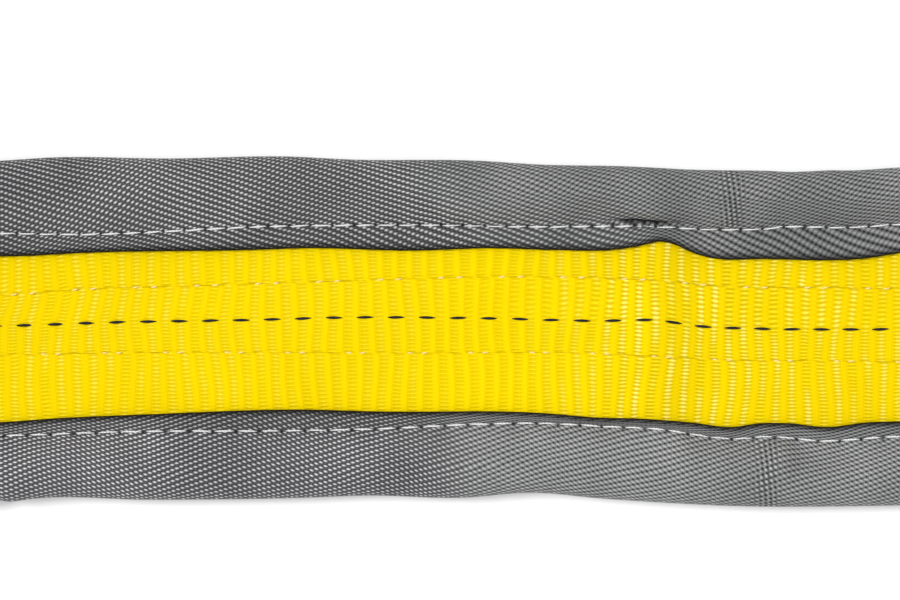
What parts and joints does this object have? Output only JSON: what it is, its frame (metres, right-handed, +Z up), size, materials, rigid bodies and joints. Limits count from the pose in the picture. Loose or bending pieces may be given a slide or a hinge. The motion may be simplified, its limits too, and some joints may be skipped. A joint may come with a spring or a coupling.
{
  "type": "flat web sling",
  "caption": "Two-ply flat lifting sling of yellow webbing with an open eye at each end and a grey cloth wear sleeve, sewn on with white thread and open along the face.",
  "frame": {"origin": "on the surface that the sling lies on, under the middle of its length", "axes": "+X along the sling to the right eye, +Y across it, +Z up from the surface out of the open face"},
  "size_m": [1.219, 0.0726, 0.034],
  "materials": {
    "webbing": "ribbed woven polyester, slight sheen",
    "webbing_thread": "twisted polyester thread",
    "marker_yarn": "black woven yarn",
    "sleeve_cloth": "heavy plain-weave cloth, matte with light yarn crests",
    "sleeve_thread": "white twisted sewing thread",
    "end_thread": "white twisted sewing thread",
    "pad_cloth": "heavy plain-weave cloth",
    "label_cloth": "coated label cloth, satin, blank"
  },
  "bodies": {
    "body": {"body_web_upper": "webbing", "body_web_lower": "webbing", "sleeve": "sleeve_cloth", "sleeve_seam_far": "sleeve_thread", "sleeve_seam_near": "sleeve_thread", "sleeve_end_stitching": "sleeve_thread", "ply_seam_stitching": "webbing_thread", "body_marker_yarn": "marker_yarn"},
    "left_leg": {"left_leg_web_upper": "webbing", "left_leg_web_lower": "webbing", "left_end_stitching": "end_thread", "left_leg_marker_yarn": "marker_yarn", "label_tail": "label_cloth", "label_stitching": "sleeve_thread"},
    "right_leg": {"right_leg_web_upper": "webbing", "right_leg_web_lower": "webbing", "right_end_stitching": "end_thread", "right_leg_marker_yarn": "marker_yarn"},
    "left_eye": {"left_eye_web": "webbing", "left_eye_wear_pad": "pad_cloth", "left_eye_pad_stitching": "sleeve_thread", "left_eye_marker_yarn": "marker_yarn"},
    "right_eye": {"right_eye_web": "webbing", "right_eye_wear_pad": "pad_cloth", "right_eye_pad_stitching": "sleeve_thread", "right_eye_marker_yarn": "marker_yarn"},
    "label": {"label_flap": "label_cloth"}
  },
  "joints": [
    {"name": "left_leg_bend", "type": "hinge", "parent": "body", "child": "left_leg", "pos_m": [-0.2525, 0, 0.0026], "axis": [0, 1, 0], "range_deg": [-90, 90]},
    {"name": "right_leg_bend", "type": "hinge", "parent": "body", "child": "right_leg", "pos_m": [0.2525, 0, 0.0026], "axis": [0, -1, 0], "range_deg": [-90, 90]},
    {"name": "left_eye_fold", "type": "hinge", "parent": "left_leg", "child": "left_eye", "pos_m": [-0.3805, 0, 0.0026], "axis": [0, 1, 0], "range_deg": [-90, 90]},
    {"name": "right_eye_fold", "type": "hinge", "parent": "right_leg", "child": "right_eye", "pos_m": [0.3805, 0, 0.0026], "axis": [0, -1, 0], "range_deg": [-90, 90]},
    {"name": "label_lift", "type": "hinge", "parent": "left_leg", "child": "label", "pos_m": [-0.3185, 0, 0.006], "axis": [0, 1, 0], "range_deg": [0, 150]}
  ]
}
